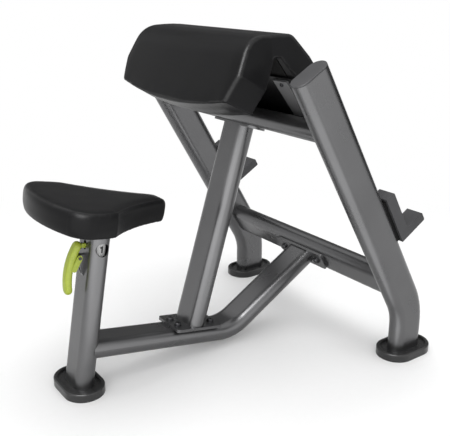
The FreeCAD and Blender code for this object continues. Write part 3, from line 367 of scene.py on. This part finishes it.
# pads: the moulded shape in even quads, drawn in, blown up by cloth and laid on the mould again
armPadSettings = {
    "node": "arm_pad",
    "body": "bench_frame",
    "name": "armPadCover",
    "voxel": 0.0041,
    "inset": 0.0022,
    "least": 0.0018,
    "most": 0.0048,
    "evenPasses": 14,
    "pressure": 4.0,
    "steps": 20,
    "fill": 0.9,
    "backs": ("arm_pad_board", "arm_pad_plate"),
}
seatPadSettings = {
    "node": "seat_pad",
    "body": "seat",
    "name": "seatPadCover",
    "voxel": 0.004,
    "inset": 0.0022,
    "least": 0.0018,
    "most": 0.0052,
    "evenPasses": 14,
    "pressure": 4.0,
    "steps": 20,
    "fill": 0.9,
    "backs": ("seat_board",),
}
clothSettings = {"quality": 5, "mass": 0.3, "stretch": 15.0, "shear": 5.0, "bend": 0.5}
backReach = 0.0015                        # points this near to the board lie on it
backGap = 0.0003
mergeReach = 0.00002
layPasses = 3
relaxShare = 0.5
highlightBend = (0.05, 0.12)                    # mean turn between neighbouring points, in radians
highlightRise = (-0.15, 0.05)                   # edges that look down get no painted highlight and stay matt


def settled(piece):                       # the piece's mesh with its modifiers applied
    graph = bpy.context.evaluated_depsgraph_get()
    return bpy.data.meshes.new_from_object(piece.evaluated_get(graph))


def mergedCopy(nodeNames):
    shape = bmesh.new()
    for nodeName in nodeNames:
        shape.from_mesh(nodes[nodeName].data)
    bmesh.ops.remove_doubles(shape, verts=shape.verts, dist=mergeReach)
    return shape


def layOn(shape, mould):
    for vert in shape.verts:
        vert.co = mould.find_nearest(vert.co)[0]


def relax(shape):
    bmesh.ops.smooth_vert(shape, verts=shape.verts, factor=relaxShare, use_axis_x=True, use_axis_y=True,
                          use_axis_z=True)


def neighbours(shape):                    # the places of the points next to each point
    return [[edge.other_vert(vert).index for edge in vert.link_edges] for vert in shape.verts]


def evenShape(settings):                  # even quads lying on the moulded pad
    shape = mergedCopy([settings["node"]])
    mould = BVHTree.FromBMesh(shape)
    piece = addObject(settings["name"], meshFrom(shape, settings["name"]))
    remesh = piece.modifiers.new("even", "REMESH")
    remesh.mode = "VOXEL"
    remesh.voxel_size = settings["voxel"]
    even = settled(piece)
    piece.modifiers.clear()
    piece.data = even
    even.name = settings["name"]
    shape = bmesh.new()
    shape.from_mesh(even)
    for turn in range(layPasses):
        relax(shape)
        layOn(shape, mould)
    shape.normal_update()
    return piece, shape, mould


def ramp(value, limits):                  # 0 at the first limit, 1 at the second
    return min(max((value - limits[0]) / (limits[1] - limits[0]), 0.0), 1.0)


def averaged(values, beside, passes):     # softens a value over neighbouring points
    for turn in range(passes):
        values = [(value + sum(values[i] for i in near)) / (1 + len(near))
                  for value, near in zip(values, beside)]
    return values


def blowUp(piece, settings, seated):      # how far cloth under pressure moves each point outwards
    cloth = piece.modifiers.new("stuffing", "CLOTH")
    held = piece.vertex_groups.new(name="held")
    held.add([i for i, onBack in enumerate(seated) if onBack], 1.0, "REPLACE")
    cloth.settings.vertex_group_mass = "held"
    cloth.settings.quality = clothSettings["quality"]
    cloth.settings.mass = clothSettings["mass"]
    cloth.settings.tension_stiffness = clothSettings["stretch"]
    cloth.settings.compression_stiffness = clothSettings["stretch"]
    cloth.settings.shear_stiffness = clothSettings["shear"]
    cloth.settings.bending_stiffness = clothSettings["bend"]
    cloth.settings.use_pressure = True
    cloth.settings.uniform_pressure_force = settings["pressure"]
    cloth.settings.effector_weights.gravity = 0.0
    cloth.point_cache.frame_start = 1
    cloth.point_cache.frame_end = settings["steps"]
    for step in range(1, settings["steps"] + 1):
        scene.frame_set(step)
    blown = settled(piece)
    piece.modifiers.clear()
    piece.vertex_groups.clear()
    scene.frame_set(1)
    moves = [(after.co - before.co).dot(before.normal)
             for before, after in zip(piece.data.vertices, blown.vertices)]
    bpy.data.meshes.remove(blown)
    return moves


def refined(piece, mould, moves, seated, inset):      # quads halved on the mould, moved out, upward-facing rims marked for a painted highlight
    shape = bmesh.new()
    shape.from_mesh(piece.data)
    shape.verts.ensure_lookup_table()
    reach = shape.verts.layers.float.new("reach")
    backed = shape.verts.layers.float.new("backed")
    for vert, move, onBack in zip(shape.verts, moves, seated):
        vert[reach] = move
        vert[backed] = 1.0 if onBack else 0.0
    bmesh.ops.subdivide_edges(shape, edges=shape.edges, cuts=1, use_grid_fill=True)
    for turn in range(layPasses):
        layOn(shape, mould)
        relax(shape)
    shape.normal_update()
    shape.verts.index_update()
    ways = [vert.normal.copy() for vert in shape.verts]
    for vert, way in zip(shape.verts, ways):
        vert.co += way * (-backGap if vert[backed] > 0.5 else vert[reach] - inset)
    beside = neighbours(shape)
    turns = [sum(way.angle(ways[i], 0.0) for i in near) / len(near) for way, near in zip(ways, beside)]
    # rim mark: sharp bends facing up, where the highlight is painted
    paintedHighlight = shape.verts.layers.float.new("paintedHighlight")
    for vert, way, bend in zip(shape.verts, ways, averaged(turns, beside, 1)):
        vert[paintedHighlight] = ramp(bend, highlightBend) * ramp(way.z, highlightRise)
    return shape


def stuffPad(settings):
    piece, shape, mould = evenShape(settings)
    back = mergedCopy(settings["backs"])
    backTree = BVHTree.FromBMesh(back)
    back.free()
    shape.verts.ensure_lookup_table()
    seated = [backTree.find_nearest(vert.co)[3] < backReach for vert in shape.verts]
    beside = neighbours(shape)
    for vert, onBack in zip(shape.verts, seated):
        vert.co -= vert.normal * (backGap if onBack else settings["inset"])
    shape.to_mesh(piece.data)
    shape.free()
    moves = [settings["inset"]] * len(seated)
    moves = blowUp(piece, settings, seated)
    moves = [min(max(move, settings["least"]), settings["most"]) for move in moves]
    moves = averaged(moves, beside, settings["evenPasses"])
    fine = refined(piece, mould, moves, seated, settings["inset"])
    fine.to_mesh(piece.data)
    fine.free()
    for face in piece.data.polygons:
        face.use_smooth = True
    wearFinish(piece, finishes["grainedBlackVinyl"])
    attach(piece, settings["body"])
    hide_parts(settings["node"])
    print(settings["name"], len(piece.data.vertices), "points, moved", min(moves), "to", max(moves))


stuffPad(armPadSettings)
stuffPad(seatPadSettings)

# numbers on the strip, one for each seat height, drawn as bold strokes in shares of their height
numberSettings = {
    "foot": (-0.411198, 0.0, 0.012),
    "lean": 10.2,
    "firstHeight": 0.369,
    "step": 0.03,
    "arcCentre": -0.025,
    "arcRadius": 0.017,
    "high": 0.0175,
    "half": 0.13,
    "cuts": 3,
    "thick": 0.00002,
    "proud": 0.00001,
}


def arcPoints(x, y, wide, high, start, end, steps=14):
    angles = [math.radians(start + (end - start) * i / steps) for i in range(steps + 1)]
    return [(x + wide * math.cos(angle), y + high * math.sin(angle)) for angle in angles]


figureStrokes = (
    (((0.06, 0.5), (0.06, -0.5)), ((0.1, 0.4), (-0.24, 0.2))),
    (arcPoints(0.0, 0.17, 0.22, 0.2, 165, -30) + [(-0.2, -0.36)], ((-0.34, -0.37), (0.34, -0.37))),
    (arcPoints(0.0, 0.19, 0.2, 0.18, 150, -90), arcPoints(0.0, -0.18, 0.23, 0.19, 90, -155)),
    (((0.12, 0.5), (0.12, -0.5)), ((0.08, 0.42), (-0.26, -0.14)), ((-0.36, -0.2), (0.34, -0.2))),
    (((0.28, 0.37), (-0.26, 0.37)), ((-0.17, 0.4), (-0.2, 0.0)),
     arcPoints(0.0, -0.15, 0.23, 0.22, 140, -155)),
)


def addStroke(shape, points, half):       # a flat ribbon of even width along the points
    spots = [Vector(point) for point in points]
    sides = []
    for i, spot in enumerate(spots):
        along = (spots[min(i + 1, len(spots) - 1)] - spots[max(i - 1, 0)]).normalized()
        across = Vector((-along.y, along.x)) * half
        sides.append([shape.verts.new((*(spot + across), 0.0)), shape.verts.new((*(spot - across), 0.0))])
    for near, far in zip(sides, sides[1:]):
        shape.faces.new((near[0], near[1], far[1], far[0]))


def makeNumber(settings, index):
    shape = bmesh.new()
    for points in figureStrokes[index]:
        addStroke(shape, points, settings["half"])
    bmesh.ops.subdivide_edges(shape, edges=shape.edges, cuts=settings["cuts"], use_grid_fill=True)
    bmesh.ops.scale(shape, vec=[settings["high"]] * 3, verts=shape.verts)
    raised = bmesh.ops.extrude_face_region(shape, geom=shape.faces[:])["geom"]
    upper = [part for part in raised if isinstance(part, bmesh.types.BMVert)]
    bmesh.ops.translate(shape, vec=(0.0, 0.0, settings["thick"]), verts=upper)
    radius = settings["arcRadius"]
    height = settings["firstHeight"] - settings["step"] * index
    for vert in shape.verts:              # wrap the flat figure round the strip
        angle = vert.co.x / radius
        away = radius + settings["proud"] + vert.co.z
        across = settings["arcCentre"] - math.cos(angle) * away
        vert.co = Vector((math.sin(angle) * away, across, height + vert.co.y))
    post = Matrix.Translation(settings["foot"]) @ Matrix.Rotation(math.radians(settings["lean"]), 4, "Y")
    bmesh.ops.transform(shape, matrix=post, verts=shape.verts)
    bmesh.ops.recalc_face_normals(shape, faces=shape.faces)
    name = "seatNumber" + str(index + 1)
    piece = addObject(name, meshFrom(shape, name))
    wearFinish(piece, finishes["digitInk"])
    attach(piece, "seat")


for index in range(len(figureStrokes)):
    makeNumber(numberSettings, index)
print("numbers", len(figureStrokes))

fullWhite = (1.0, 1.0, 1.0, 1.0)
fullBlack = (0.0, 0.0, 0.0, 1.0)

# pale floor that fades to white away from the bench
floorSettings = {
    "radius": 9.0,
    "segments": 64,
    "drop": 0.0003,
    "tone": (252, 252, 252),
    "grain": 60.0,
    "grainDim": 0.99,
    "fadeFrom": 0.55,
    "fadeTo": 1.7,
    "near": 0.08,
    "mirrorFrom": 0.45,
    "mirrorTo": 1.1,
    "mirrorDim": 0.1,
}


def shaderMix(tree, share, first, second):
    links = {0: share, 1: first.outputs[0], 2: second.outputs[0]}
    return addNode(tree, "ShaderNodeMixShader", {}, links)


def makeFloor(settings):
    shape = bmesh.new()
    bmesh.ops.create_circle(shape, cap_ends=True, segments=settings["segments"], radius=settings["radius"])
    bmesh.ops.translate(shape, vec=(0.0, 0.0, -settings["drop"]), verts=shape.verts)
    floor = addObject("paleFloor", meshFrom(shape, "paleFloor"))
    finish, tree = bareFinish("paleFloor")
    place = placeOn(tree)
    grain = cloudOn(tree, place, settings["grain"])
    tone = screenColour(*settings["tone"])
    dimmed = (*[settings["grainDim"] * value for value in tone[:3]], 1.0)
    colour = tint(tree, spread(tree, grain, 0.0, 1.0), dimmed, tone)
    matt = addNode(tree, "ShaderNodeBsdfDiffuse", {}, {"Color": colour})
    white = addNode(tree, "ShaderNodeEmission", {"Strength": 1.0, "Color": fullWhite})
    away = addNode(tree, "ShaderNodeVectorMath", {"operation": "LENGTH"}, {0: place})
    distance = away.outputs["Value"]
    fade = spread(tree, distance, settings["near"], 1.0, settings["fadeFrom"], settings["fadeTo"])
    mirrorFade = spread(tree, distance, 0.0, 1.0, settings["mirrorFrom"], settings["mirrorTo"])
    path = addNode(tree, "ShaderNodeLightPath")
    watched = combined(tree, "MULTIPLY", fade, path.outputs["Is Camera Ray"])
    mirrored = combined(tree, "MULTIPLY", mirrorFade, path.outputs["Is Glossy Ray"])
    share = combined(tree, "MAXIMUM", watched, mirrored)
    dark = addNode(tree, "ShaderNodeBsdfDiffuse", {"Color": fullBlack})
    dim = addNode(tree, "ShaderNodeMath", {"operation": "MULTIPLY", 1: settings["mirrorDim"]},
                  {0: path.outputs["Is Glossy Ray"]})
    ground = shaderMix(tree, dim.outputs[0], matt, dark)
    mix = shaderMix(tree, share, ground, white)
    tree.links.new(mix.outputs[0], tree.nodes["Material Output"].inputs["Surface"])
    wearFinish(floor, finish)


def seenRay(tree):                        # 1 for camera, glossy and transmission rays
    path = addNode(tree, "ShaderNodeLightPath")
    first = combined(tree, "MAXIMUM", path.outputs["Is Camera Ray"], path.outputs["Is Glossy Ray"])
    return combined(tree, "MAXIMUM", first, path.outputs["Is Transmission Ray"])


# white to the camera and in reflections, softer as a light
skySettings = {"ambient": 0.7}


def makeSky(settings):
    sky = bpy.data.worlds.new("studio")
    scene.world = sky
    sky.use_nodes = True
    tree = sky.node_tree
    soft = tree.nodes["Background"]
    soft.inputs["Color"].default_value = fullWhite
    soft.inputs["Strength"].default_value = settings["ambient"]
    white = addNode(tree, "ShaderNodeBackground", {"Strength": 1.0, "Color": fullWhite})
    mix = shaderMix(tree, seenRay(tree), soft, white)
    tree.links.new(mix.outputs[0], tree.nodes["World Output"].inputs["Surface"])


lampSettings = {
    "frontLamp": {"place": (-1.5, -2.1, 1.0), "size": (4.4, 2.0), "power": 40.0},
    "topLamp": {"place": (0.1, 0.1, 2.7), "size": (2.2, 2.2), "power": 38.0},
}

# cards seen only in reflections: dark behind and on the right, bright on the left, in front and above
cardSettings = {
    "backLowCard": {"place": (5.75, 8.2, 1.4), "aim": (0.0, 0.0, 1.4), "size": (15.0, 2.9), "glow": 0.15},
    "backMidCard": {"place": (5.75, 8.2, 4.0), "aim": (0.0, 0.0, 4.0), "size": (15.0, 2.2), "glow": 0.23},
    "backTopCard": {"place": (5.75, 8.2, 7.1), "aim": (0.0, 0.0, 7.1), "size": (15.0, 3.9), "glow": 0.1},
    "farLeftCard": {"place": (-5.0, 8.66, 4.5), "aim": (0.0, 0.0, 4.5), "size": (10.5, 9.0), "glow": 0.75},
    "rightCard": {"place": (3.0, -0.7, 1.0), "aim": (0.0, 0.0, 1.0), "size": (2.6, 2.0), "glow": 0.03},
    "leftCard": {"place": (-1.5, -1.0, 0.68), "aim": (0.0, 0.0, 0.68), "size": (2.6, 1.26), "glow": 2.55},
    "floorCard": {"place": (-1.15, -1.6, 0.001), "aim": (-1.15, -1.6, 1.0), "size": (2.9, 2.4), "glow": 1.9},
    "softBox": {"place": (-1.9, -1.4, 3.3), "aim": (0.0, 0.0, 0.7), "size": (2.4, 2.4), "glow": 11.0},
    "frontCard": {"place": (0.35, -2.1, 0.6), "aim": (0.0, 0.0, 0.6), "size": (2.6, 1.1), "glow": 1.45},
}
aimHeight = 0.4                           # the lamps' common aim above the floor's middle


def makeCard(name, settings):
    shape = bmesh.new()
    bmesh.ops.create_grid(shape, x_segments=1, y_segments=1, size=0.5)
    bmesh.ops.scale(shape, vec=(*settings["size"], 1.0), verts=shape.verts)
    facing = (Vector(settings["aim"]) - Vector(settings["place"])).to_track_quat("Z", "Y")
    place = Matrix.Translation(settings["place"]) @ facing.to_matrix().to_4x4()
    bmesh.ops.transform(shape, matrix=place, verts=shape.verts)
    card = addObject(name, meshFrom(shape, name))
    finish, tree = bareFinish(name)
    glow = addNode(tree, "ShaderNodeEmission", {"Strength": settings["glow"], "Color": fullWhite})
    tree.links.new(glow.outputs[0], tree.nodes["Material Output"].inputs["Surface"])
    wearFinish(card, finish)
    card.visible_camera = False
    card.visible_diffuse = False
    card.visible_shadow = False


def addLamp(name, settings):
    glow = bpy.data.lights.new(name, "AREA")
    glow.shape = "RECTANGLE"
    glow.size, glow.size_y = settings["size"]
    glow.energy = settings["power"]
    lamp = addObject(name, glow)
    lamp.location = settings["place"]
    aim = Vector((0.0, 0.0, aimHeight)) - Vector(settings["place"])
    lamp.rotation_euler = aim.to_track_quat("-Z", "Y").to_euler()
    lamp.visible_camera = False
    lamp.visible_glossy = False


makeFloor(floorSettings)
for cardName, settings in cardSettings.items():
    makeCard(cardName, settings)
makeSky(skySettings)
for lampName, settings in lampSettings.items():
    addLamp(lampName, settings)
print("floor and light ready")
